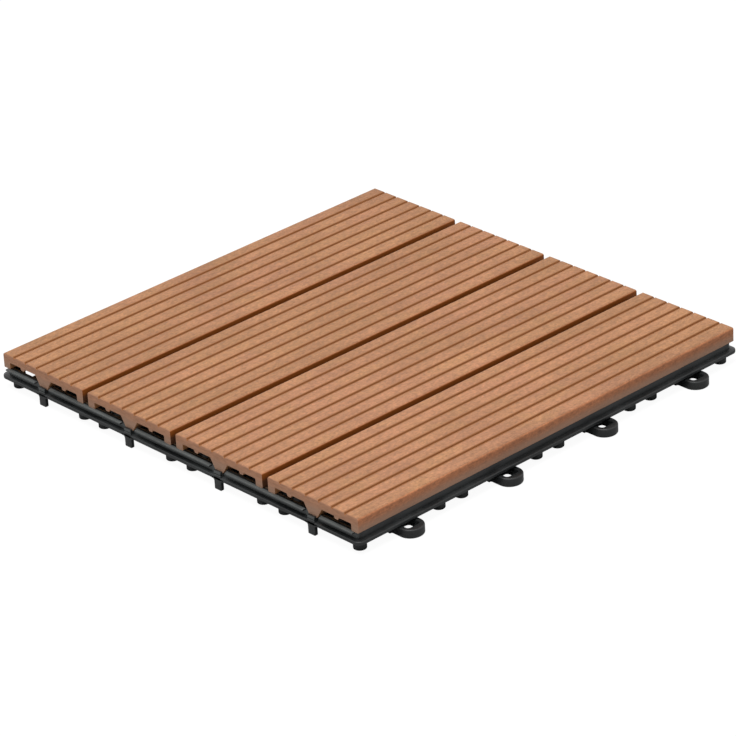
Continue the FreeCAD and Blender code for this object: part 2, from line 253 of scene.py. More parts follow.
class Stock:
    """Gathers the closed solids of one piece into a single mesh."""

    def __init__(self) -> None:
        """Starts with nothing in it."""
        self.shell = bmesh.new()

    def add(self, part: bmesh.types.BMesh, places: Iterable[Matrix] = (Matrix.Identity(4),)) -> None:
        """Adds a solid at each of several places.

        Args:
            part: The solid. It is used up.
            places: Where its copies go.
        """
        data = bpy.data.meshes.new("stock")
        part.to_mesh(data)
        part.free()
        for place in places:
            copy = data.copy()
            copy.transform(place)
            self.shell.from_mesh(copy)
            bpy.data.meshes.remove(copy)
        bpy.data.meshes.remove(data)

    def piece(self, name: str, material: bpy.types.Material, smooth_angle: float = 40.0) -> bpy.types.Object:
        """Makes the scene's object.

        Args:
            name: The piece's name.
            material: Its finish.
            smooth_angle: Edges that turn by less than this many degrees are shaded smooth.

        Returns:
            The object, linked to the scene.
        """
        data = bpy.data.meshes.new(name)
        self.shell.to_mesh(data)
        self.shell.free()
        data.shade_smooth()
        data.set_sharp_from_angle(angle=math.radians(smooth_angle))
        data.materials.append(material)
        thing = bpy.data.objects.new(name, data)
        bpy.context.scene.collection.objects.link(thing)
        return thing


def settle(thing: bpy.types.Object, node: str) -> None:
    """Puts a finished piece in the place of a construction node and reports it.

    Args:
        thing: The piece.
        node: The node that it stands for.
    """
    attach(thing, Ride.BODY.value)
    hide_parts(node)
    LOG.info("%s: %d faces, in place of %s", thing.name, len(thing.data.polygons), node)


# Finishes


class Graph:
    """Short hand for building the nodes of one material."""

    def __init__(self, name: str) -> None:
        """Makes an empty material with a surface shader.

        Args:
            name: The material's name.
        """
        self.material = bpy.data.materials.new(name)
        self.material.use_nodes = True
        self.tree = self.material.node_tree
        self.tree.nodes.clear()
        self.shader = self.node("ShaderNodeBsdfPrincipled")
        output = self.node("ShaderNodeOutputMaterial")
        self.tree.links.new(self.shader.outputs["BSDF"], output.inputs["Surface"])

    def node(self, kind: str, **settings: object) -> bpy.types.Node:
        """Adds a node.

        Args:
            kind: The node's type.
            settings: Values for its own properties.

        Returns:
            The node.
        """
        made = self.tree.nodes.new(kind)
        for key, value in settings.items():
            setattr(made, key, value)
        return made

    def feed(self, socket: bpy.types.NodeSocket, value: object) -> None:
        """Links a socket to another, or sets its value.

        Args:
            socket: The input.
            value: The socket that it is linked to, or its value.
        """
        if isinstance(value, bpy.types.NodeSocket):
            self.tree.links.new(value, socket)
        else:
            socket.default_value = value

    def place(self, scale: Sequence[float]) -> bpy.types.NodeSocket:
        """Coordinates on the tile, stretched along each axis.

        Args:
            scale: A factor for each axis. With 1 they are metres.

        Returns:
            The coordinates.
        """
        source = self.node("ShaderNodeTexCoord").outputs["Object"]
        stretch = self.node("ShaderNodeVectorMath", operation="MULTIPLY")
        self.feed(stretch.inputs[0], source)
        stretch.inputs[1].default_value = scale
        return stretch.outputs["Vector"]

    def axis(self, vector: bpy.types.NodeSocket, name: str) -> bpy.types.NodeSocket:
        """One component of a vector.

        Args:
            vector: The vector.
            name: The axis: X, Y or Z.

        Returns:
            The component.
        """
        split = self.node("ShaderNodeSeparateXYZ")
        self.feed(split.inputs[0], vector)
        return split.outputs[name]

    def along(self, name: str) -> bpy.types.NodeSocket:
        """Place along one of the tile's axes, in metres."""
        return self.axis(self.place((1, 1, 1)), name)

    def maths(self, operation: str, *values: object) -> bpy.types.NodeSocket:
        """Result of a sum.

        Args:
            operation: The sum's name.
            values: Its terms, as numbers or sockets.

        Returns:
            The result.
        """
        made = self.node("ShaderNodeMath", operation=operation)
        for socket, value in zip(made.inputs, values):
            self.feed(socket, value)
        return made.outputs[0]

    def product(self, first: object, second: object) -> bpy.types.NodeSocket:
        """Two values multiplied."""
        return self.maths("MULTIPLY", first, second)

    def size(self, value: object) -> bpy.types.NodeSocket:
        """A value without its sign."""
        return self.maths("ABSOLUTE", value)

    def below(self, value: object, limit: float) -> bpy.types.NodeSocket:
        """1 where a value is below a limit, otherwise 0."""
        return self.maths("LESS_THAN", value, limit)

    def noise(self, cells: Cells, detail: float = 3.0, rough: float = 0.55) -> bpy.types.NodeSocket:
        """Noise from 0 to 1.

        Args:
            cells: Number of cells to a metre along each axis.
            detail: Number of finer layers on top.
            rough: How strong the finer layers are.

        Returns:
            The noise.
        """
        made = self.node("ShaderNodeTexNoise")
        self.feed(made.inputs["Vector"], self.place(cells))
        made.inputs["Scale"].default_value = 1.0
        made.inputs["Detail"].default_value = detail
        made.inputs["Roughness"].default_value = rough
        return made.outputs["Fac"]

    def ramp(self, value: object, low: float, high: float, at_low: float = 0.0, at_high: float = 1.0,
             smooth: bool = True) -> bpy.types.NodeSocket:
        """Maps a value from one range to another, held at both ends.

        Args:
            value: The value.
            low: Where the range starts.
            high: Where the range ends.
            at_low: Result at the start.
            at_high: Result at the end.
            smooth: Whether the ends are eased.

        Returns:
            The result.
        """
        made = self.node("ShaderNodeMapRange", interpolation_type="SMOOTHSTEP" if smooth else "LINEAR")
        for index, entry in enumerate((value, low, high, at_low, at_high)):
            self.feed(made.inputs[index], entry)
        return made.outputs[0]

    def blend(self, share: object, first: object, second: object) -> bpy.types.NodeSocket:
        """Mixes two colours.

        Args:
            share: How much of the second colour there is, from 0 to 1.
            first: The first colour.
            second: The second colour.

        Returns:
            The mixed colour.
        """
        made = self.node("ShaderNodeMix", data_type="RGBA", blend_type="MIX", clamp_result=True)
        self.feed(made.inputs[0], share)
        self.feed(made.inputs[6], first)
        self.feed(made.inputs[7], second)
        return made.outputs[2]

    def shade(self, colour: object, brightness: object) -> bpy.types.NodeSocket:
        """Makes a colour lighter or darker.

        Args:
            colour: The colour.
            brightness: The factor.

        Returns:
            The shaded colour.
        """
        made = self.node("ShaderNodeVectorMath", operation="SCALE")
        self.feed(made.inputs[0], colour[:3] if isinstance(colour, tuple) else colour)
        self.feed(made.inputs["Scale"], brightness)
        return made.outputs["Vector"]

    def vary(self, colour: object, pattern: object, spread: Spread,
             smooth: bool = False) -> bpy.types.NodeSocket:
        """Shades a colour with a noise pattern.

        Args:
            colour: The colour.
            pattern: The noise.
            spread: The factors at the pattern's low and high end.
            smooth: Whether the ends are eased.

        Returns:
            The shaded colour.
        """
        return self.shade(colour, self.ramp(pattern, *NOISE_RANGE, *spread, smooth=smooth))

    def bump(self, height: object, distance: float, under: object = None) -> bpy.types.NodeSocket:
        """Relief from a height.

        Args:
            height: The height, from 0 to 1.
            distance: The depth of the relief.
            under: Another relief that this one lies on, if any.

        Returns:
            The normal.
        """
        made = self.node("ShaderNodeBump")
        made.inputs["Distance"].default_value = distance
        self.feed(made.inputs["Height"], height)
        if under is not None:
            self.feed(made.inputs["Normal"], under)
        return made.outputs["Normal"]

    def edges(self, radius: float) -> bpy.types.NodeSocket:
        """How near a point is to an outer edge, from 0 to 1.

        Args:
            radius: How far the edge reaches.

        Returns:
            The nearness.
        """
        rounded = self.node("ShaderNodeBevel", samples=4)
        rounded.inputs["Radius"].default_value = radius
        true = self.node("ShaderNodeNewGeometry").outputs["Normal"]
        product = self.node("ShaderNodeVectorMath", operation="DOT_PRODUCT")
        self.feed(product.inputs[0], rounded.outputs["Normal"])
        self.feed(product.inputs[1], true)
        return self.ramp(product.outputs["Value"], 0.99, 0.80)

    def facing(self, axis: str, low: float, high: float) -> bpy.types.NodeSocket:
        """Where a face looks along an axis, either way.

        Args:
            axis: The axis.
            low: How squarely it looks that way where the result is 0.
            high: How squarely it looks that way where the result is 1.

        Returns:
            The share, from 0 to 1.
        """
        normal = self.node("ShaderNodeNewGeometry").outputs["True Normal"]
        return self.ramp(self.size(self.axis(normal, axis)), low, high)


@dataclass(frozen=True)
class CompositeFinish:
    """Brushed wood and plastic composite: warm tan, with fibre flecks and drawn streaks."""

    tan: Colour = (0.490, 0.238, 0.116, 1.0)
    rosy: Colour = (0.490, 0.230, 0.122, 1.0)
    straw: Colour = (0.488, 0.245, 0.112, 1.0)
    # Painted shade for the grooves.
    groove_shade: Colour = (0.315, 0.120, 0.036, 1.0)
    # Painted shade between the slats, darker towards their foot.
    cleft_shade: Colour = (0.300, 0.080, 0.006, 1.0)
    cleft_foot_shade: Colour = (0.120, 0.045, 0.018, 1.0)
    # Painted warm bounce light for the sides inside the slats' hollows.
    hollow_bounce_light: Colour = (0.560, 0.260, 0.110, 1.0)
    shaded_flank: Colour = (0.460, 0.178, 0.080, 1.0)
    sawn: Colour = (0.460, 0.225, 0.130, 1.0)
    lower_grey: Colour = (0.400, 0.250, 0.175, 1.0)
    fleck: Colour = (0.300, 0.135, 0.062, 1.0)
    cloud_cells: Cells = (22, 16, 22)
    patch_cells: Cells = (60, 44, 60)
    weather_cells: Cells = (34, 18, 34)
    streak_cells: Cells = (1500, 40, 1500)
    grain_cells: Cells = (760, 520, 760)
    brush_cells: Cells = (520, 230, 520)
    fleck_cells: Cells = (620, 240, 620)
    sawn_cells: Cells = (240, 240, 1100)
    saw_line_cells: Cells = (200, 200, 1600)
    rib_spread: Spread = (0.97, 1.03)
    across_tile_spread: Spread = (0.93, 1.01)
    weather_spread: Spread = (0.90, 1.10)
    streak_spread: Spread = (0.92, 1.08)
    grain_spread: Spread = (0.76, 1.24)
    brush_spread: Spread = (0.86, 1.14)
    sawn_spread: Spread = (0.86, 1.12)
    patch_share: float = 0.6
    fleck_share: float = 0.5
    lower_grey_share: float = 0.75
    # Gain of the painted highlight along the sides' upper edge.
    arris_highlight: float = 1.45
    edge_light: float = 0.10
    edge_reach: float = 0.5 * MM
    groove_floor: float = 20.7 * MM
    groove_reach: float = 1.80 * MM
    groove_dark: float = 0.85 * MM
    cleft_high: float = 21.7 * MM
    cleft_dark: float = 21.0 * MM
    foot_high: float = 19.5 * MM
    foot_low: float = 16.5 * MM
    lower_grey_low: float = 14.0 * MM
    lower_grey_high: float = 19.5 * MM
    arris_low: float = 20.0 * MM
    arris_high: float = 21.3 * MM
    outer_side: float = 147.0 * MM
    pitch: float = 75.0 * MM
    half_width: float = 35.2 * MM
    rib_pitch: float = 10.18 * MM
    roughness: float = 0.62
    roughness_spread: Spread = (-0.08, 0.12)
    specular: float = 0.35
    streak_depth: float = 0.12 * MM
    grain_depth: float = 0.10 * MM
    saw_depth: float = 0.15 * MM

    def across(self, graph: Graph) -> bpy.types.NodeSocket:
        """Place across a slat, from its own middle, in metres.

        Args:
            graph: The material's nodes.

        Returns:
            The place.
        """
        shifted = graph.maths("ADD", graph.along("X"), 20 * self.pitch)
        return graph.maths("SUBTRACT", graph.maths("MODULO", shifted, self.pitch), self.pitch / 2)

    def rib_tone(self, graph: Graph, across: bpy.types.NodeSocket) -> bpy.types.NodeSocket:
        """A tone that each rib keeps along its whole length.

        Args:
            graph: The material's nodes.
            across: Place across the slat.

        Returns:
            The tone, from 0 to 1.
        """
        rib = graph.maths("FLOOR", graph.maths("ADD", graph.maths("DIVIDE", across, self.rib_pitch), 0.5))
        slat = graph.maths("FLOOR", graph.maths("DIVIDE", graph.along("X"), self.pitch))
        tone = graph.node("ShaderNodeTexWhiteNoise", noise_dimensions="1D")
        graph.feed(tone.inputs["W"], graph.maths("ADD", graph.product(slat, 17.0), rib))
        return tone.outputs["Value"]

    def groove_shade_share(self, graph: Graph, across: bpy.types.NodeSocket) -> bpy.types.NodeSocket:
        """How far into a groove or over its shoulders a point is, for the painted shade there.

        Args:
            graph: The material's nodes.
            across: Place across the slat.

        Returns:
            The share, from 0 to 1.
        """
        phase = graph.maths("FRACT", graph.maths("ADD", graph.maths("DIVIDE", across, self.rib_pitch), 100.0))
        apart = graph.product(graph.size(graph.maths("SUBTRACT", phase, 0.5)), self.rib_pitch)
        depth = graph.ramp(apart, self.groove_reach, self.groove_dark)
        above = graph.maths("GREATER_THAN", graph.along("Z"), self.groove_floor - 0.1 * MM)
        inside = graph.below(graph.size(across), self.half_width - 1.5 * MM)
        return graph.product(graph.product(depth, above), inside)

    def cleft_shade_share(self, graph: Graph) -> bpy.types.NodeSocket:
        """How deep between two slats a point of their sides is, for the painted shade there.

        Args:
            graph: The material's nodes.

        Returns:
            The share, from 0 to 1.
        """
        depth = graph.ramp(graph.along("Z"), self.cleft_high, self.cleft_dark)
        inner = graph.below(graph.size(graph.along("X")), self.outer_side)
        return graph.product(graph.product(depth, inner), graph.facing("X", 0.5, 0.9))

    def tints(self, graph: Graph, side: bpy.types.NodeSocket) -> bpy.types.NodeSocket:
        """The tan and its broad tints, with painted shade on the sides, which are also redder, and a painted
        highlight along their upper edge.

        Args:
            graph: The material's nodes.
            side: Where a face looks sideways, from 0 to 1.

        Returns:
            The colour.
        """
        clouds = graph.ramp(graph.noise(self.cloud_cells, 2.0), 0.36, 0.64)
        patches = graph.ramp(graph.noise(self.patch_cells, 3.0), 0.45, 0.68)
        colour = graph.blend(clouds, self.tan, self.rosy)
        colour = graph.blend(graph.product(patches, self.patch_share), colour, self.straw)
        # Painted shade on the sides, which are also redder.
        colour = graph.blend(side, colour, self.shaded_flank)
        # Painted highlight along the sides' upper edge, where the rounding catches light.
        painted_arris = graph.ramp(graph.along("Z"), self.arris_low, self.arris_high, 1.0, self.arris_highlight)
        return graph.blend(side, colour, graph.shade(colour, painted_arris))

    def brushed(self, graph: Graph, colour: object, across: bpy.types.NodeSocket,
                streak: bpy.types.NodeSocket, grain: bpy.types.NodeSocket) -> bpy.types.NodeSocket:
        """The ribs' own tones, the drawn streaks, the brushed grain and the fibre flecks.

        Args:
            graph: The material's nodes.
            colour: The colour so far.
            across: Place across the slat.
            streak: Noise of the drawn streaks.
            grain: Noise of the grain.

        Returns:
            The colour.
        """
        tone = graph.ramp(self.rib_tone(graph, across), 0.0, 1.0, *self.rib_spread, smooth=False)
        colour = graph.shade(colour, tone)
        # Darker towards the -X side of the tile.
        reach = 2 * self.pitch
        across_tile_tone = graph.ramp(graph.along("X"), -reach, reach, *self.across_tile_spread, smooth=False)
        colour = graph.shade(colour, across_tile_tone)
        colour = graph.vary(colour, graph.noise(self.weather_cells, 3.0), self.weather_spread, True)
        colour = graph.vary(colour, streak, self.streak_spread)
        colour = graph.vary(colour, grain, self.grain_spread)
        colour = graph.vary(colour, graph.noise(self.brush_cells, 3.0, 0.6), self.brush_spread)
        flecks = graph.ramp(graph.noise(self.fleck_cells, 2.0, 0.5), 0.64, 0.74)
        return graph.blend(graph.product(flecks, self.fleck_share), colour, self.fleck)

    def recesses(self, graph: Graph, colour: object, across: bpy.types.NodeSocket,
                 ends: bpy.types.NodeSocket) -> bpy.types.NodeSocket:
        """Painted shade in the grooves and in the clefts between slats, and painted bounce light on the
        hollows' sides below.

        Args:
            graph: The material's nodes.
            colour: The colour so far.
            across: Place across the slat.
            ends: Where a face is a sawn end, from 0 to 1.

        Returns:
            The colour.
        """
        # Painted shade in the grooves, but not on the sawn ends.
        groove_shading = graph.product(self.groove_shade_share(graph, across), graph.maths("SUBTRACT", 1.0, ends))
        colour = graph.blend(groove_shading, colour, self.groove_shade)
        # Painted shade on the slats' sides between slats, darker further down.
        foot = graph.ramp(graph.along("Z"), self.foot_high, self.foot_low)
        cleft_shade = graph.blend(foot, self.cleft_shade, self.cleft_foot_shade)
        # Inside a slat the sides get painted bounce light instead of the painted shade.
        inside = graph.below(graph.size(across), self.half_width - 1.0 * MM)
        cleft_shade = graph.blend(inside, cleft_shade, self.hollow_bounce_light)
        return graph.blend(self.cleft_shade_share(graph), colour, cleft_shade)

    def build(self) -> bpy.types.Material:
        """Makes the material.

        Returns:
            The material.
        """
        graph = Graph("brushed_composite")
        across = self.across(graph)
        side, ends = graph.facing("X", 0.5, 0.95), graph.facing("Y", 0.6, 0.9)
        streak = graph.noise(self.streak_cells, 4.0, 0.6)
        grain = graph.noise(self.grain_cells, 4.0, 0.65)
        colour = self.brushed(graph, self.tints(graph, side), across, streak, grain)
        sawn = graph.vary(self.sawn, graph.noise(self.sawn_cells, 4.0), self.sawn_spread, True)
        colour = graph.blend(ends, colour, sawn)
        # The sides and ends turn greyer towards the bottom.
        low = graph.ramp(graph.along("Z"), self.lower_grey_high, self.lower_grey_low, 0.0, self.lower_grey_share)
        upright = graph.maths("MAXIMUM", side, ends)
        colour = graph.blend(graph.product(low, upright), colour, self.lower_grey)
        colour = self.recesses(graph, colour, across, ends)
        worn = graph.product(graph.edges(self.edge_reach), self.edge_light)
        colour = graph.shade(colour, graph.maths("ADD", 1.0, worn))
        graph.feed(graph.shader.inputs["Base Color"], colour)
        smoothest, roughest = (self.roughness + change for change in self.roughness_spread)
        graph.feed(graph.shader.inputs["Roughness"], graph.ramp(grain, 0.2, 0.8, smoothest, roughest))
        graph.shader.inputs["Specular IOR Level"].default_value = self.specular
        relief = graph.bump(streak, self.streak_depth)
        relief = graph.bump(grain, self.grain_depth, relief)
        saw_lines = graph.product(graph.noise(self.saw_line_cells, 3.0), ends)
        graph.feed(graph.shader.inputs["Normal"], graph.bump(saw_lines, self.saw_depth, relief))
        return graph.material


@dataclass(frozen=True)
class PlasticFinish:
    """Moulded black plastic: satin, with a fine moulded grain, flow marks and duller corners."""

    black: Colour = (0.0085, 0.0095, 0.0100, 1.0)
    bloom: Colour = (0.022, 0.0245, 0.0255, 1.0)
    rubbed: Colour = (0.045, 0.049, 0.050, 1.0)
    # Painted light for the ledge tops and the wall.
    painted_light_grey: Colour = (0.125, 0.136, 0.134, 1.0)
    # Painted warm bounce light from the slats, inside the base.
    painted_bounce_brown: Colour = (0.130, 0.080, 0.042, 1.0)
    flow_cells: Cells = (38, 38, 90)
    speck_cells: Cells = (420, 420, 420)
    uneven_cells: Cells = (120, 120, 120)
    wave_cells: Cells = (160, 160, 160)
    grain_cells: Cells = (3200, 3200, 3200)
    speck_share: float = 0.35
    edge_share: float = 0.20
    wall_light_share: float = 0.50
    bounce_share: float = 0.8
    loop_black_share: float = 0.7
    edge_reach: float = 0.35 * MM
    bounce_low: float = 9.0 * MM
    bounce_high: float = 12.0 * MM
    inner_reach: float = 146.0 * MM
    ledge_light_low: float = 11.8 * MM
    ledge_light_high: float = 12.8 * MM
    ledge_light_line: float = 147.4 * MM
    web_low: float = 8.6 * MM
    loop_start: float = 150.0 * MM
    fade: float = 0.6 * MM
    roughness: float = 0.42
    roughness_spread: Spread = (-0.06, 0.10)
    specular: float = 0.5
    grain_depth: float = 0.02 * MM
    wave_depth: float = 0.10 * MM

    def moulded(self, graph: Graph, flow: bpy.types.NodeSocket) -> bpy.types.NodeSocket:
        """The black with its flow marks, pale specks and rubbed edges.

        Args:
            graph: The material's nodes.
            flow: The pattern of the flow marks.

        Returns:
            The colour.
        """
        colour = graph.blend(flow, self.black, self.bloom)
        specks = graph.ramp(graph.noise(self.speck_cells, 5.0, 0.7), 0.52, 0.80)
        colour = graph.blend(graph.product(specks, self.speck_share), colour, self.rubbed)
        return graph.blend(graph.product(graph.edges(self.edge_reach), self.edge_share), colour, self.rubbed)

    def lit_and_loop_tones(self, graph: Graph, colour: object) -> bpy.types.NodeSocket:
        """Painted light on the ledge tops and on the wall's Y-facing faces, painted warm bounce light inside,
        and plain black out on the loops.

        Args:
            graph: The material's nodes.
            colour: The colour so far.

        Returns:
            The colour.
        """
        height, away_x, away_y = graph.along("Z"), graph.size(graph.along("X")), graph.size(graph.along("Y"))
        # Painted light on the up-facing ledge tops at the ±Y sides, laid on unevenly.
        high = graph.ramp(height, self.ledge_light_low, self.ledge_light_high)
        outer = graph.ramp(away_y, self.ledge_light_line - 0.4 * MM, self.ledge_light_line + 0.2 * MM)
        ledge_light = graph.product(graph.product(high, outer), graph.facing("Z", 0.5, 0.9))
        uneven = graph.ramp(graph.noise(self.uneven_cells, 4.0, 0.6), 0.25, 0.75, 0.55, 1.0)
        colour = graph.blend(graph.product(ledge_light, uneven), colour, self.painted_light_grey)
        # Painted light that lifts the shade on the wall's Y-facing faces.
        wall = graph.ramp(height, self.web_low, self.web_low + self.fade)
        wall_light = graph.product(graph.product(wall, graph.facing("Y", 0.5, 0.9)), self.wall_light_share)
        colour = graph.blend(wall_light, colour, self.painted_light_grey)
        # Painted warm bounce light from the slats on the upper parts of the inner ribs.
        inside = graph.product(graph.below(away_x, self.inner_reach), graph.below(away_y, self.inner_reach))
        bounce_mask = graph.product(inside, graph.ramp(height, self.bounce_low, self.bounce_high))
        share = graph.product(bounce_mask, graph.product(uneven, self.bounce_share))
        colour = graph.blend(share, colour, self.painted_bounce_brown)
        # Plain black out on the loops.
        reach = graph.maths("MAXIMUM", away_x, away_y)
        loop_black = graph.ramp(reach, self.loop_start, self.loop_start + self.fade)
        return graph.blend(graph.product(loop_black, self.loop_black_share), colour, self.black)

    def build(self) -> bpy.types.Material:
        """Makes the material.

        Returns:
            The material.
        """
        graph = Graph("moulded_black_plastic")
        flow = graph.ramp(graph.noise(self.flow_cells, 4.0, 0.6), 0.35, 0.72)
        graph.feed(graph.shader.inputs["Base Color"], self.lit_and_loop_tones(graph, self.moulded(graph, flow)))
        smoothest, roughest = (self.roughness + change for change in self.roughness_spread)
        graph.feed(graph.shader.inputs["Roughness"], graph.ramp(flow, 0.0, 1.0, smoothest, roughest))
        graph.shader.inputs["Specular IOR Level"].default_value = self.specular
        relief = graph.bump(graph.noise(self.grain_cells, 2.0), self.grain_depth)
        relief = graph.bump(graph.noise(self.wave_cells, 2.0), self.wave_depth, relief)
        graph.feed(graph.shader.inputs["Normal"], relief)
        return graph.material


@dataclass(frozen=True)
class ZincFinish:
    """Zinc plated steel, a little dulled and stained in patches."""

    zinc: Colour = (0.560, 0.565, 0.555, 1.0)
    dull: Colour = (0.330, 0.325, 0.300, 1.0)
    stain_cells: Cells = (520, 520, 520)
    plating_cells: Cells = (4200, 4200, 900)
    edge_light: float = 0.3
    edge_reach: float = 0.2 * MM
    roughness: float = 0.34
    stain_roughness: float = 0.18
    plating_depth: float = 0.02 * MM

    def build(self) -> bpy.types.Material:
        """Makes the material.

        Returns:
            The material.
        """
        graph = Graph("zinc_plated_steel")
        stain = graph.ramp(graph.noise(self.stain_cells, 4.0, 0.65), 0.42, 0.68)
        colour = graph.blend(stain, self.zinc, self.dull)
        worn = graph.product(graph.edges(self.edge_reach), self.edge_light)
        colour = graph.shade(colour, graph.maths("ADD", 1.0, worn))
        graph.feed(graph.shader.inputs["Base Color"], colour)
        graph.shader.inputs["Metallic"].default_value = 1.0
        roughest = self.roughness + self.stain_roughness
        graph.feed(graph.shader.inputs["Roughness"], graph.ramp(stain, 0.0, 1.0, self.roughness, roughest))
        relief = graph.bump(graph.noise(self.plating_cells, 3.0), self.plating_depth)
        graph.feed(graph.shader.inputs["Normal"], relief)
        return graph.material


# Sub-assemblies


@dataclass
class Slats:
    """The four grooved slats."""

    count: int = 4
    pitch: float = 75.0 * MM
    half_width: float = 35.2 * MM
    half_length: float = 147.7 * MM
    top: float = 22.0 * MM
    seat: float = 12.9 * MM
    ceiling: float = 17.1 * MM
    edge_radius: float = 1.3 * MM
    end_ease: float = 0.9 * MM
    wall: float = 5.4 * MM
    wall_foot_radius: float = 0.5 * MM
    ceiling_radius: float = 0.8 * MM
    keel_half: float = 7.0 * MM
    keel_tip_half: float = 3.0 * MM
    keel_tip: float = 10.6 * MM
    keel_tip_radius: float = 0.8 * MM
    nib_offset: float = 18.4 * MM
    nib_half: float = 1.9 * MM
    nib_tip_half: float = 1.2 * MM
    nib_drop: float = 1.6 * MM
    nib_tip_radius: float = 0.5 * MM
    grooves: int = 6
    groove_pitch: float = 10.18 * MM
    groove_half: float = 0.65 * MM
    groove_depth: float = 1.3 * MM
    groove_shoulder: float = 0.6 * MM
    groove_floor_radius: float = 0.4 * MM
    stations: int = 72
    end_steps: int = 5
    corner_steps: int = 4

    def centres(self) -> list[float]:
        """Middle line of each slat."""
        return [self.pitch * (index - (self.count - 1) / 2) for index in range(self.count)]

    def underside(self) -> list[Corner]:
        """Corners of the underside.

        Returns:
            The corners, from the -X wall's foot to the keel's tip.
        """
        inner = self.half_width - self.wall
        nib_low = self.ceiling - self.nib_drop
        return [
            (-self.half_width, self.seat, self.wall_foot_radius),
            (-inner, self.seat, self.wall_foot_radius),
            (-inner, self.ceiling, self.ceiling_radius),
            (-self.nib_offset - self.nib_half, self.ceiling, 0),
            (-self.nib_offset - self.nib_tip_half, nib_low, self.nib_tip_radius),
            (-self.nib_offset + self.nib_tip_half, nib_low, self.nib_tip_radius),
            (-self.nib_offset + self.nib_half, self.ceiling, 0),
            (-self.keel_half, self.ceiling, self.ceiling_radius),
            (-self.keel_tip_half, self.keel_tip, self.keel_tip_radius),
        ]

    def upper_side(self) -> list[Corner]:
        """Corners of the grooved top.

        Returns:
            The corners, from the +X edge to the -X edge.
        """
        floor = self.top - self.groove_depth
        corners = [(self.half_width, self.top, self.edge_radius)]
        for index in reversed(range(self.grooves)):
            middle = self.groove_pitch * (index - (self.grooves - 1) / 2)
            corners += [
                (middle + self.groove_half, self.top, self.groove_shoulder),
                (middle + self.groove_half, floor, self.groove_floor_radius),
                (middle - self.groove_half, floor, self.groove_floor_radius),
                (middle - self.groove_half, self.top, self.groove_shoulder),
            ]
        corners.append((-self.half_width, self.top, self.edge_radius))
        return corners

    def section(self) -> list[Point2]:
        """Section across one slat.

        Returns:
            The section's outline, about the slat's own middle.
        """
        left = self.underside()
        right = [(-u, v, radius) for u, v, radius in reversed(left)]
        return rounded_outline([*left, *right, *self.upper_side()], self.corner_steps)

    def places_along(self) -> list[float]:
        """Places of the cross-sections along a slat.

        Returns:
            The places, rising, and close together at the eased ends.
        """
        inner = self.half_length - self.end_ease
        turns = [math.radians(90 * step / self.end_steps) for step in range(self.end_steps + 1)]
        eased = [self.end_ease * (1 - math.cos(turn)) for turn in turns]
        ends = [self.half_length - depth for depth in eased]
        middle = [inner * (2 * index / self.stations - 1) for index in range(1, self.stations)]
        return [-end for end in ends] + middle + ends[::-1]

    def ceiling_at(self, along: float) -> float:
        """Highest point that the eased end leaves.

        Args:
            along: Place along the slat.

        Returns:
            The height there.
        """
        depth = min(self.half_length - abs(along), self.end_ease)
        rise = math.sqrt(max(self.end_ease**2 - (self.end_ease - depth) ** 2, 0.0))
        return self.top - self.end_ease + rise

    def slat(self, centre: float) -> bmesh.types.BMesh:
        """One slat as a closed mesh.

        Args:
            centre: Its middle line.

        Returns:
            The mesh.
        """
        shell = bmesh.new()
        outline = self.section()
        loops = []
        for along in self.places_along():
            limit = self.ceiling_at(along)
            loops.append([shell.verts.new((centre + u, along, min(v, limit))) for u, v in outline])
        bridge(shell, loops, False)
        shell.faces.new(loops[0])
        shell.faces.new(loops[-1][::-1])
        bmesh.ops.recalc_face_normals(shell, faces=shell.faces)
        return shell

    def build(self, finish: bpy.types.Material) -> None:
        """Builds and dresses each slat.

        Args:
            finish: The composite's material.
        """
        for index, centre in enumerate(self.centres()):
            stock = Stock()
            stock.add(self.slat(centre))
            settle(stock.piece(f"grooved_slat_{index + 1}", finish), f"slat_{index + 1}")


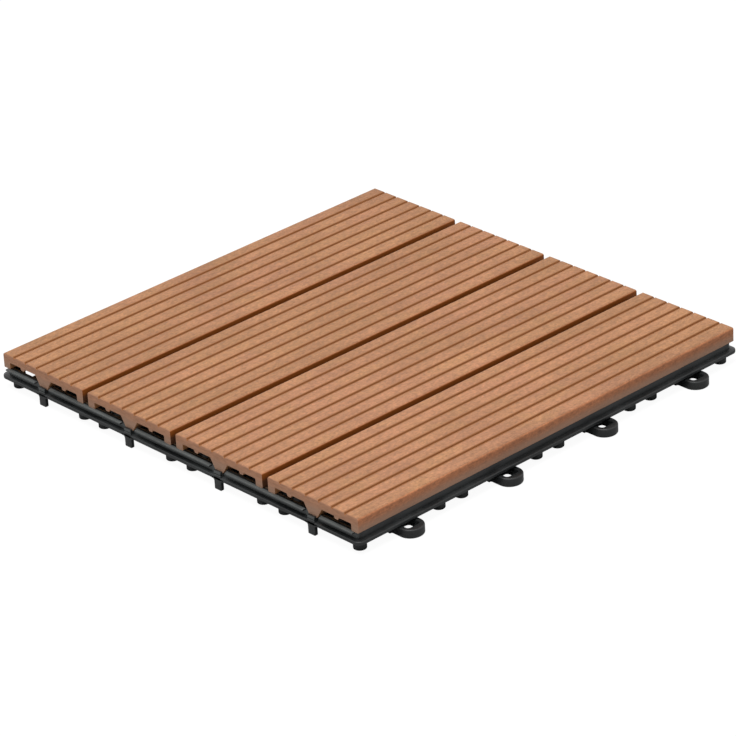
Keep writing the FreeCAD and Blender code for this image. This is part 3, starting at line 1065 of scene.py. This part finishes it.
@dataclass
class Screws:
    """The screws that hold the slats from below."""

    offset: float = 100.0 * MM
    seat: float = 8.0 * MM
    length: float = 9.5 * MM
    tip_length: float = 1.6 * MM
    crest: float = 1.75 * MM
    root: float = 1.30 * MM
    thread_pitch: float = 1.35 * MM
    neck: float = 0.5 * MM
    head_radius: float = 3.4 * MM
    head_height: float = 2.0 * MM
    head_flat: float = 1.3 * MM
    head_dome: float = 1.25 * MM
    head_rim: float = 0.15 * MM
    head_steps: int = 8
    head_sides: int = 48
    recess_depth: float = 1.3 * MM
    recess_half_length: float = 1.75 * MM
    recess_half_width: float = 0.42 * MM
    recess_length_share: float = 0.35
    recess_width_share: float = 0.75
    recess_offset: float = 0.02
    ridge_half: float = 0.28
    tip_share: float = 0.12
    rings: int = 110
    sides: int = 28

    def spots(self, centres: Sequence[float]) -> list[Matrix]:
        """Places of the screws under the slats' middle lines."""
        return [shift(x, side * self.offset) for x in centres for side in (-1, 1)]

    def shank_radius(self, climb: float, angle: float) -> float:
        """Radius of the threaded shank.

        Args:
            climb: Height above the head's seat.
            angle: Angle round the shank, in radians.

        Returns:
            The radius there.
        """
        phase = (climb / self.thread_pitch - angle / (2 * math.pi)) % 1.0
        ridge = max(0.0, 1.0 - abs(phase - 0.5) / self.ridge_half)
        taper = min(1.0, max(self.tip_share, (self.length - climb) / self.tip_length))
        start = min(1.0, max(0.0, (climb - self.neck) / self.thread_pitch))
        return taper * (self.root + (self.crest - self.root) * ridge * start)

    def shank(self) -> bmesh.types.BMesh:
        """Builds the shank with its thread.

        Returns:
            The shank.
        """
        shell = bmesh.new()
        angles = [2 * math.pi * side / self.sides for side in range(self.sides)]
        loops = []
        for ring in range(self.rings + 1):
            climb = self.length * ring / self.rings
            radii = [self.shank_radius(climb, angle) for angle in angles]
            spots = [(r * math.cos(a), r * math.sin(a), self.seat + climb) for r, a in zip(radii, angles)]
            loops.append([shell.verts.new(spot) for spot in spots])
        bridge(shell, loops, False)
        shell.faces.new(loops[0][::-1])
        shell.faces.new(loops[-1])
        return shell

    def head(self) -> bmesh.types.BMesh:
        """Builds the domed head with its crossed recess.

        Returns:
            The head.
        """
        low, flat = self.seat - self.head_height, self.head_flat
        points = [(0.0, low), (flat, low)]
        for step in range(1, self.head_steps + 1):
            angle = math.radians(90 * step / self.head_steps)
            radius = flat + (self.head_radius - flat) * math.sin(angle)
            points.append((radius, low + self.head_dome * (1 - math.cos(angle))))
        points.append((self.head_radius, self.seat - self.head_rim))
        points += [(self.head_radius - self.head_rim, self.seat), (0.0, self.seat)]
        body = self.carrier("screw_head", turned(points, self.head_sides))
        cutter = self.carrier("screw_recess", self.recess(low))
        cut = body.modifiers.new("recess", "BOOLEAN")
        cut.operation = "DIFFERENCE"
        cut.solver = "EXACT"
        cut.object = cutter
        bpy.context.view_layer.update()
        result = bpy.data.meshes.new_from_object(body.evaluated_get(bpy.context.evaluated_depsgraph_get()))
        shell = bmesh.new()
        shell.from_mesh(result)
        for thing in (body, cutter):
            bpy.data.objects.remove(thing)
        bpy.data.meshes.remove(result)
        return shell

    def recess(self, low: float) -> bmesh.types.BMesh:
        """Cutter for the crossed recess, tapering into the head.

        Args:
            low: Height of the head's lower face.

        Returns:
            The cutter.
        """
        shell = bmesh.new()
        depth, drop = self.recess_depth, self.recess_offset * self.recess_depth
        for crosswise in (False, True):
            for vert in bmesh.ops.create_cube(shell, size=1.0)["verts"]:
                inside = vert.co.z > 0
                length = self.recess_half_length * (self.recess_length_share if inside else 1.0)
                width = self.recess_half_width * (self.recess_width_share if inside else 1.0)
                u, v = math.copysign(length, vert.co.x), math.copysign(width, vert.co.y)
                height = low + (depth if inside else -depth) - (drop if crosswise else 0.0)
                vert.co = (v, u, height) if crosswise else (u, v, height)
        bmesh.ops.recalc_face_normals(shell, faces=shell.faces)
        return shell

    def carrier(self, name: str, shell: bmesh.types.BMesh) -> bpy.types.Object:
        """Puts a solid in the scene while another is cut with it.

        Args:
            name: The object's name.
            shell: The solid. It is used up.

        Returns:
            The object.
        """
        data = bpy.data.meshes.new(name)
        shell.to_mesh(data)
        shell.free()
        thing = bpy.data.objects.new(name, data)
        bpy.context.scene.collection.objects.link(thing)
        return thing

    def build(self, centres: Sequence[float], finish: bpy.types.Material) -> None:
        """Builds and dresses the screws.

        Args:
            centres: The slats' middle lines.
            finish: The steel's material.
        """
        stock = Stock()
        places = self.spots(centres)
        stock.add(self.head(), places)
        stock.add(self.shank(), places)
        settle(stock.piece("slat_screw_set", finish, 35.0), "slat_screws")


@dataclass
class BaseGrid:
    """The moulded base that carries the slats and locks with other tiles."""

    seat: float = 12.9 * MM
    rail_bottom: float = 6.1 * MM
    rail_face_top: float = 8.2 * MM
    rail_top: float = 8.8 * MM
    rail_reach: float = 149.6 * MM
    rail_inner: float = 145.6 * MM
    rail_corner: float = 4.0 * MM
    rail_least_corner: float = 0.4 * MM
    rail_rounding: float = 0.55 * MM
    web_reach: float = 147.0 * MM
    web_inner: float = 144.8 * MM
    web_corner: float = 3.5 * MM
    web_inner_corner: float = 1.2 * MM
    web_margin: float = 1.0 * MM
    ledge_thickness: float = 1.0 * MM
    ledge_half_length: float = 144.6 * MM
    ledge_notch_half: float = 6.25 * MM
    rib_pitch: float = 25.0 * MM
    rib_half: float = 0.9 * MM
    rib_lines: int = 5
    rib_rounding: float = 0.28 * MM
    slot_floor: float = 10.25 * MM
    slot_floor_half: float = 3.2 * MM
    slot_top_half: float = 4.78 * MM
    screw_offset: float = 100.0 * MM
    boss_gap: float = 4.4 * MM
    boss_radius: float = 5.2 * MM
    boss_top: float = 10.6 * MM
    boss_seat: float = 8.0 * MM
    boss_recess: float = 3.9 * MM
    boss_hole: float = 2.0 * MM
    boss_rim: float = 0.25 * MM
    foot_radius: float = 3.8 * MM
    foot_line: float = 142.0 * MM
    foot_spread: float = 8.6 * MM
    foot_rounding: float = 0.55 * MM
    foot_steps: int = 6
    pad_radius: float = 4.2 * MM
    pad_rounding: float = 0.6 * MM
    pad_pitch: float = 50.0 * MM
    pad_lines: int = 2
    loop_height: float = 5.3 * MM
    loop_end_radius: float = 7.65 * MM
    loop_end_centre: float = 150.3 * MM
    loop_rounding: float = 0.7 * MM
    loop_flare: float = 1.0 * MM
    hole_inner: float = 143.9 * MM
    hole_outer: float = 153.1 * MM
    hole_half: float = 4.5 * MM
    hole_corner: float = 1.6 * MM
    root_front: float = 143.3 * MM
    root_back: float = 139.3 * MM
    root_half: float = 8.8 * MM
    root_bite: float = 1.0 * MM
    root_overlap: float = 0.4 * MM
    root_rounding: float = 0.2 * MM
    leg_bottom: float = 3.0 * MM
    peg_half: float = 2.75 * MM
    peg_thickness: float = 2.2 * MM
    peg_tip: float = 0.1 * MM
    peg_tip_radius: float = 0.6 * MM
    peg_fillet: float = 1.2 * MM
    peg_shoulder: float = 4.95 * MM
    peg_recess: float = 0.6 * MM
    peg_overlap: float = 1.0 * MM
    peg_crest: float = 11.6 * MM
    peg_crest_back: float = 147.9 * MM
    rounding: float = 0.3 * MM

    def lattice(self, centres: Sequence[float]) -> bmesh.types.BMesh:
        """Builds the crossed ribs as one solid.

        They are parted at the screw bosses and lowered under the keels.

        Args:
            centres: The slats' middle lines.

        Returns:
            The solid, with rounded edges.
        """
        ribs = [self.rib_pitch * index for index in range(-self.rib_lines, self.rib_lines + 1)]
        edge = self.web_inner + (self.web_reach - self.web_inner) / 2
        lines = [-edge, edge] + [rib + side * self.rib_half for rib in ribs for side in (-1, 1)]
        halves = (self.slot_floor_half, self.slot_top_half, self.boss_gap)
        slot_lines = [c + side * half for c in centres for side in (-1, 1) for half in halves]
        xs = sorted(lines + slot_lines)
        ys = sorted(lines)

        def on_rib(low: float, high: float) -> bool:
            """Whether a span of either axis lies on a rib."""
            middle = (low + high) / 2
            return any(abs(middle - rib) < self.rib_half for rib in ribs)

        def at_boss(x_low: float, x_high: float, y_low: float, y_high: float) -> bool:
            """Whether a patch of the plan lies inside a screw boss.

            Args:
                x_low: Its low side across the tile.
                x_high: Its high side across the tile.
                y_low: Its low side along the tile.
                y_high: Its high side along the tile.

            Returns:
                True inside a boss.
            """
            x, y = (x_low + x_high) / 2, (y_low + y_high) / 2
            near = any(abs(x - c) < self.boss_gap for c in centres)
            return near and abs(abs(y) - self.screw_offset) < self.rib_half

        def filled(column: int, row: int) -> bool:
            """Whether a patch of the plan is solid.

            Args:
                column: The patch's place across the tile.
                row: Its place along the tile.

            Returns:
                True where there is plastic.
            """
            if not (0 <= column < len(xs) - 1 and 0 <= row < len(ys) - 1):
                return False
            x_low, x_high, y_low, y_high = xs[column], xs[column + 1], ys[row], ys[row + 1]
            if at_boss(x_low, x_high, y_low, y_high):
                return False
            return on_rib(x_low, x_high) or on_rib(y_low, y_high)

        shell = bmesh.new()
        known: dict[tuple[int, int, bool], bmesh.types.BMVert] = {}

        def vert(column: int, row: int, upper: bool) -> bmesh.types.BMVert:
            """The vertex at a crossing of the plan's lines.

            Args:
                column: The line across the tile.
                row: The line along the tile.
                upper: Whether it is on the ribs' tops.

            Returns:
                The vertex, made at its first use.
            """
            key = (column, row, upper)
            if key not in known:
                height = self.slot_height(xs[column], centres) if upper else self.rail_bottom
                known[key] = shell.verts.new((xs[column], ys[row], height))
            return known[key]

        for column in range(len(xs) - 1):
            for row in range(len(ys) - 1):
                if not filled(column, row):
                    continue
                ring = [(column, row), (column + 1, row), (column + 1, row + 1), (column, row + 1)]
                shell.faces.new([vert(*spot, True) for spot in ring])
                shell.faces.new([vert(*spot, False) for spot in reversed(ring)])
                beyond = [(column, row - 1), (column + 1, row), (column, row + 1), (column - 1, row)]
                for side, neighbour in enumerate(beyond):
                    if not filled(*neighbour):
                        start, end = ring[side], ring[(side + 1) % 4]
                        lower = [vert(*start, False), vert(*end, False)]
                        shell.faces.new([*lower, vert(*end, True), vert(*start, True)])
        soften(shell, self.rib_rounding)
        return shell

    def slot_height(self, x: float, centres: Sequence[float]) -> float:
        """Height of the ribs' tops at a place across the tile.

        Args:
            x: The place.
            centres: The slats' middle lines, where the keels pass.

        Returns:
            The height.
        """
        nearest = min(abs(x - centre) for centre in centres)
        slope = (nearest - self.slot_floor_half) / (self.slot_top_half - self.slot_floor_half)
        return self.slot_floor + (self.seat - self.slot_floor) * min(1.0, max(0.0, slope))

    def web(self, centres: Sequence[float]) -> bmesh.types.BMesh:
        """Builds the upright wall round the lattice, lowered under the keels.

        Args:
            centres: The slats' middle lines.

        Returns:
            The wall.
        """
        halves = (self.slot_floor_half, self.slot_top_half)
        marks = sorted(c + side * half for c in centres for side in (-1, 1) for half in halves)
        outer = square_loop(self.web_reach, self.web_corner, marks)
        inner = square_loop(self.web_inner, self.web_inner_corner, marks)
        on_ends = self.web_inner - self.web_margin

        def top(point: Point2) -> float:
            """Height of the wall's top at a point of its plan."""
            under_keel = abs(point[1]) > on_ends and abs(point[0]) < on_ends - self.web_corner
            return self.slot_height(point[0], centres) if under_keel else self.seat

        shell = bmesh.new()
        floor = [[shell.verts.new((*point, self.rail_bottom)) for point in loop] for loop in (inner, outer)]
        crown = [[shell.verts.new((*point, top(point))) for point in loop] for loop in (outer, inner)]
        bridge(shell, [*floor, *crown], True)
        bmesh.ops.recalc_face_normals(shell, faces=shell.faces)
        soften(shell, self.rounding)
        return shell

    def rail(self) -> bmesh.types.BMesh:
        """Builds the low rounded rail round the wall.

        Returns:
            The rail.
        """
        section = rounded_outline([
            (self.rail_inner, self.rail_bottom, 0),
            (self.rail_reach, self.rail_bottom, self.rail_rounding),
            (self.rail_reach, self.rail_face_top, self.rail_rounding),
            (self.web_reach, self.rail_top, 0),
            (self.rail_inner, self.rail_top, 0),
        ], 4)
        shell = bmesh.new()
        loops = []
        for reach, height in section:
            radius = max(self.rail_corner - (self.rail_reach - reach), self.rail_least_corner)
            outline = square_loop(reach, radius, [0.0], 8)
            loops.append([shell.verts.new((*point, height)) for point in outline])
        bridge(shell, loops, True)
        bmesh.ops.recalc_face_normals(shell, faces=shell.faces)
        return shell

    def ledges(self, stock: Stock, centres: Sequence[float]) -> None:
        """Adds the ledges under the slats' ends, parted at the keels.

        Args:
            stock: Where they go.
            centres: The slats' middle lines.
        """
        starts = [-self.ledge_half_length] + [centre + self.ledge_notch_half for centre in centres]
        ends = [centre - self.ledge_notch_half for centre in centres] + [self.ledge_half_length]
        inner = (self.web_reach + self.web_inner) / 2
        for start, end in zip(starts, ends):
            low = (start, inner, self.seat - self.ledge_thickness)
            high = (end, self.rail_reach, self.seat)
            stock.add(soft_box(low, high, self.rounding), [quarter(0), quarter(2)])

    def post_profile(self, radius: float, rounding: float) -> list[Point2]:
        """Profile of a round post with a rounded foot.

        Args:
            radius: The post's radius.
            rounding: Radius of the rounding at its foot.

        Returns:
            Points as (radius, height), from the axis at the bottom to the axis at the top.
        """
        points = [(0.0, 0.0)]
        for step in range(self.foot_steps + 1):
            angle = math.radians(90 * step / self.foot_steps)
            points.append((radius - rounding * (1 - math.sin(angle)), rounding * (1 - math.cos(angle))))
        rim = [(radius, self.rail_top - self.rounding), (radius - self.rounding, self.rail_top)]
        return [*points, *rim, (0.0, self.rail_top)]

    def feet(self, stock: Stock, joints: Sequence[float]) -> None:
        """Adds the feet under the rail and the flat pads under the ribs.

        Args:
            stock: Where they go.
            joints: Lines between the slats.
        """
        along = [joint + side * self.foot_spread for joint in joints for side in (-1, 1)] + [self.foot_line]
        places = [quarter(turn) @ shift(self.foot_line, spot) for turn in range(4) for spot in along]
        stock.add(turned(self.post_profile(self.foot_radius, self.foot_rounding)), places)
        lines = [self.pad_pitch * index for index in range(-self.pad_lines, self.pad_lines + 1)]
        pads = [shift(x, y) for x in lines for y in lines]
        stock.add(turned(self.post_profile(self.pad_radius, self.pad_rounding)), pads)

    def loops(self, stock: Stock, centres: Sequence[float]) -> None:
        """Adds the loops on the +X and +Y sides, with their roots behind the wall.

        Args:
            stock: Where they go.
            centres: The slats' middle lines.
        """
        side, root, tip = self.loop_end_radius, self.root_half, self.loop_end_centre + self.loop_end_radius
        end = side - 1e-6
        back, front, flare = self.root_back, self.root_front, self.loop_flare
        outer = rounded_outline([
            (back, -root, 0), (front, -root, 0), (front, -side, flare), (tip, -side, end),
            (tip, side, end), (front, side, flare), (front, root, 0), (back, root, 0),
        ], 16)
        half = self.hole_half
        hole = rounded_outline([
            (self.hole_inner, -half, self.hole_corner), (self.hole_outer, -half, self.hole_corner),
            (self.hole_outer, half, self.hole_corner), (self.hole_inner, half, self.hole_corner),
        ], 6)
        places = [quarter(turn) @ shift(0, centre) for turn in (0, 1) for centre in centres]
        stock.add(plate([outer, hole], 0, self.loop_height, self.loop_rounding), places)
        behind = (self.web_reach + self.web_inner) / 2
        joint = self.rail_bottom + self.root_overlap
        for sign in (-1, 1):
            low, high = sorted((sign * half, sign * side))
            leg_low = (front - self.root_bite, low, self.leg_bottom)
            stock.add(soft_box(leg_low, (behind, high, joint), self.root_rounding), places)
        stock.add(soft_box((back, -root, 0), (front, root, joint), self.rounding), places)
        rib = self.rib_pitch / 2
        strap_low, strap_high = (back, -rib, self.rail_bottom), (behind, rib, self.rail_top)
        stock.add(soft_box(strap_low, strap_high, self.root_rounding), places)

    def pegs(self, stock: Stock, centres: Sequence[float]) -> None:
        """Adds the pegs on the -Y and -X sides.

        Args:
            stock: Where they go.
            centres: The slats' middle lines.
        """
        half, shoulder, top = self.peg_half, self.peg_shoulder, self.rail_face_top - self.peg_recess
        outline = rounded_outline([
            (-half, self.peg_tip, self.peg_tip_radius), (half, self.peg_tip, self.peg_tip_radius),
            (half, self.rail_bottom, self.peg_fillet), (shoulder, self.rail_bottom, 0), (shoulder, top, 0),
            (-shoulder, top, 0), (-shoulder, self.rail_bottom, 0), (-half, self.rail_bottom, self.peg_fillet),
        ], 5)
        upright = Matrix.Rotation(math.radians(90), 4, "X")
        places = [quarter(turn) @ shift(centre, 0) for turn in (0, -1) for centre in centres]
        back = self.rail_reach - self.peg_thickness
        tongue = plate([outline], back, self.rail_reach, self.rounding)
        stock.add(tongue, [place @ upright for place in places])
        inner = (self.web_reach + self.web_inner) / 2
        column_low, column_high = (-half, -self.rail_reach, self.rail_bottom), (half, -inner, self.slot_floor)
        stock.add(soft_box(column_low, column_high, self.rounding), places)
        crest_low = (-half, -self.rail_reach, self.slot_floor - self.peg_overlap)
        crest_high = (half, -self.peg_crest_back, self.peg_crest)
        stock.add(soft_box(crest_low, crest_high, self.rounding), places)

    def bosses(self, stock: Stock, places: Sequence[Matrix]) -> None:
        """Adds the screw bosses, each with a recess for the head below.

        Args:
            stock: Where they go.
            places: Places of the screws.
        """
        rim = self.boss_rim
        ring = rounded_outline([
            (self.boss_recess, self.rail_bottom, rim), (self.boss_radius, self.rail_bottom, rim),
            (self.boss_radius, self.boss_top, rim), (self.boss_hole, self.boss_top, rim),
            (self.boss_hole, self.boss_seat, rim), (self.boss_recess, self.boss_seat, rim),
        ], 3)
        stock.add(turned(ring, 40, True), places)

    def build(self, slats: Slats, screws: Screws, finish: bpy.types.Material) -> None:
        """Builds and dresses the base.

        Args:
            slats: The slats that it carries.
            screws: The screws that pass through it.
            finish: The plastic's material.
        """
        centres = slats.centres()
        joints = [centre + slats.pitch / 2 for centre in centres[:-1]]
        stock = Stock()
        stock.add(self.lattice(centres))
        stock.add(self.web(centres))
        stock.add(self.rail())
        self.ledges(stock, centres)
        self.feet(stock, joints)
        self.loops(stock, centres)
        self.pegs(stock, centres)
        self.bosses(stock, screws.spots(centres))
        settle(stock.piece("moulded_base", finish, 35.0), "base_grid")


# Studio


@dataclass(frozen=True)
class Viewpoint:
    """The camera, solved from the tile's corners in the picture."""

    azimuth: float = 47.78
    elevation: float = 27.05
    roll: float = -3.24
    focal_pixels: float = 4013.0
    picture_pixels: float = 736.0
    distance: float = 2309.0 * MM
    sensor: float = 36.0
    nearest: float = 0.05
    farthest: float = 50.0
    target: tuple[float, float, float] = (-5.8 * MM, 4.95 * MM, 0.0)

    def build(self) -> bpy.types.Object:
        """Makes the camera.

        Returns:
            The camera, set as the scene's own.
        """
        turn, rise, tilt = (math.radians(a) for a in (self.azimuth, self.elevation, self.roll))
        back = Vector((math.sin(turn) * math.cos(rise), -math.cos(turn) * math.cos(rise), math.sin(rise)))
        level = (-back).cross(Vector((0, 0, 1))).normalized()
        upright = level.cross(-back)
        right = math.cos(tilt) * level + math.sin(tilt) * upright
        up = math.cos(tilt) * upright - math.sin(tilt) * level
        data = bpy.data.cameras.new("viewpoint")
        data.sensor_width = self.sensor
        data.lens = self.focal_pixels / self.picture_pixels * data.sensor_width
        data.clip_start, data.clip_end = self.nearest, self.farthest
        thing = bpy.data.objects.new("viewpoint", data)
        place = Matrix((right, up, back)).transposed().to_4x4()
        place.translation = Vector(self.target) + back * self.distance
        thing.matrix_world = place
        bpy.context.scene.collection.objects.link(thing)
        bpy.context.scene.camera = thing
        return thing


@dataclass(frozen=True)
class Studio:
    """A white floor, an even white sky and one broad lamp overhead.

    The floor glows only where it is seen, so that it shows as white beside the tile. Close under
    the tile it doesn't, and light that falls on it comes back from a plain grey.
    """

    sky: float = 0.42
    floor_half: float = 30.0
    floor_drop: float = 0.02 * MM
    floor_grey: float = 0.50
    floor_white: float = 0.11
    floor_glow: float = 0.94
    glow_start: float = 136.0 * MM
    glow_full: float = 138.0 * MM
    lamp_power: float = 32.0
    lamp_size: float = 1.6
    lamp_place: tuple[float, float, float] = (0.15, -0.55, 2.1)

    def backdrop(self) -> None:
        """Lights the world evenly.

        Where it is seen, also in a reflection, it is plain white.
        """
        world = bpy.data.worlds.new("white_sky")
        world.use_nodes = True
        nodes, links = world.node_tree.nodes, world.node_tree.links
        nodes.clear()
        path = nodes.new("ShaderNodeLightPath")
        seen = nodes.new("ShaderNodeMath")
        seen.operation = "MAXIMUM"
        links.new(path.outputs["Is Camera Ray"], seen.inputs[0])
        links.new(path.outputs["Is Glossy Ray"], seen.inputs[1])
        light, white, mix = (nodes.new(kind) for kind in (
            "ShaderNodeBackground", "ShaderNodeBackground", "ShaderNodeMixShader"))
        light.inputs["Strength"].default_value = self.sky
        white.inputs["Strength"].default_value = 1.0
        for background in (light, white):
            background.inputs["Color"].default_value = (1, 1, 1, 1)
        output = nodes.new("ShaderNodeOutputWorld")
        links.new(seen.outputs[0], mix.inputs[0])
        links.new(light.outputs[0], mix.inputs[1])
        links.new(white.outputs[0], mix.inputs[2])
        links.new(mix.outputs[0], output.inputs["Surface"])
        bpy.context.scene.world = world

    def floor(self) -> None:
        """Lays the floor.

        It shows white, keeps the tile's shadow and is clear from below.
        """
        shell = bmesh.new()
        bmesh.ops.create_grid(shell, x_segments=1, y_segments=1, size=self.floor_half)
        data = bpy.data.meshes.new("floor")
        shell.to_mesh(data)
        shell.free()
        ground = bpy.data.objects.new("floor", data)
        ground.location.z = -self.floor_drop
        bpy.context.scene.collection.objects.link(ground)
        material = bpy.data.materials.new("white_floor")
        material.use_nodes = True
        nodes, links = material.node_tree.nodes, material.node_tree.links
        nodes.clear()
        path = nodes.new("ShaderNodeLightPath")
        dim, pale, glow = (nodes.new(kind) for kind in (
            "ShaderNodeBsdfDiffuse", "ShaderNodeBsdfDiffuse", "ShaderNodeEmission"))
        dim.inputs["Color"].default_value = (*[self.floor_grey] * 3, 1)
        pale.inputs["Color"].default_value = (*[self.floor_white] * 3, 1)
        spot = nodes.new("ShaderNodeTexCoord")
        apart = nodes.new("ShaderNodeSeparateXYZ")
        links.new(spot.outputs["Object"], apart.inputs[0])
        sides = [nodes.new("ShaderNodeMath") for _ in range(3)]
        for side, name in zip(sides, "XY"):
            side.operation = "ABSOLUTE"
            links.new(apart.outputs[name], side.inputs[0])
            links.new(side.outputs[0], sides[2].inputs["XY".index(name)])
        sides[2].operation = "MAXIMUM"
        lit = nodes.new("ShaderNodeMapRange")
        lit.inputs["From Min"].default_value = self.glow_start
        lit.inputs["From Max"].default_value = self.glow_full
        lit.inputs["To Max"].default_value = self.floor_glow
        links.new(sides[2].outputs[0], lit.inputs["Value"])
        links.new(lit.outputs["Result"], glow.inputs["Strength"])
        shown, mix = nodes.new("ShaderNodeAddShader"), nodes.new("ShaderNodeMixShader")
        output = nodes.new("ShaderNodeOutputMaterial")
        links.new(pale.outputs[0], shown.inputs[0])
        links.new(glow.outputs[0], shown.inputs[1])
        links.new(path.outputs["Is Camera Ray"], mix.inputs[0])
        links.new(dim.outputs[0], mix.inputs[1])
        links.new(shown.outputs[0], mix.inputs[2])
        below, clear, sheet = (nodes.new(kind) for kind in (
            "ShaderNodeNewGeometry", "ShaderNodeBsdfTransparent", "ShaderNodeMixShader"))
        links.new(below.outputs["Backfacing"], sheet.inputs[0])
        links.new(mix.outputs[0], sheet.inputs[1])
        links.new(clear.outputs[0], sheet.inputs[2])
        links.new(sheet.outputs[0], output.inputs["Surface"])
        data.materials.append(material)

    def lamp(self) -> None:
        """Hangs the broad lamp.

        It is turned to the tile.
        """
        data = bpy.data.lights.new("overhead_lamp", "AREA")
        data.shape = "DISK"
        data.size = self.lamp_size
        data.energy = self.lamp_power
        thing = bpy.data.objects.new("overhead_lamp", data)
        thing.location = self.lamp_place
        thing.rotation_mode = "QUATERNION"
        thing.rotation_quaternion = (-Vector(self.lamp_place)).to_track_quat("-Z", "Y")
        bpy.context.scene.collection.objects.link(thing)

    def build(self) -> None:
        """Sets the stage.

        Colours go to the picture as they are.
        """
        self.backdrop()
        self.floor()
        self.lamp()
        bpy.context.scene.view_settings.view_transform = "Standard"


def main() -> None:
    """Builds the tile, its finishes and the studio in order.

    Each piece is reported as it is settled.
    """
    logging.basicConfig(level=logging.INFO, format="%(name)s: %(message)s")
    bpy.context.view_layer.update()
    composite = CompositeFinish().build()
    plastic = PlasticFinish().build()
    zinc = ZincFinish().build()
    slats, screws, base = Slats(), Screws(), BaseGrid()
    slats.build(composite)
    screws.build(slats.centres(), zinc)
    base.build(slats, screws, plastic)
    Studio().build()
    Viewpoint().build()


if __name__ == "__main__":
    main()
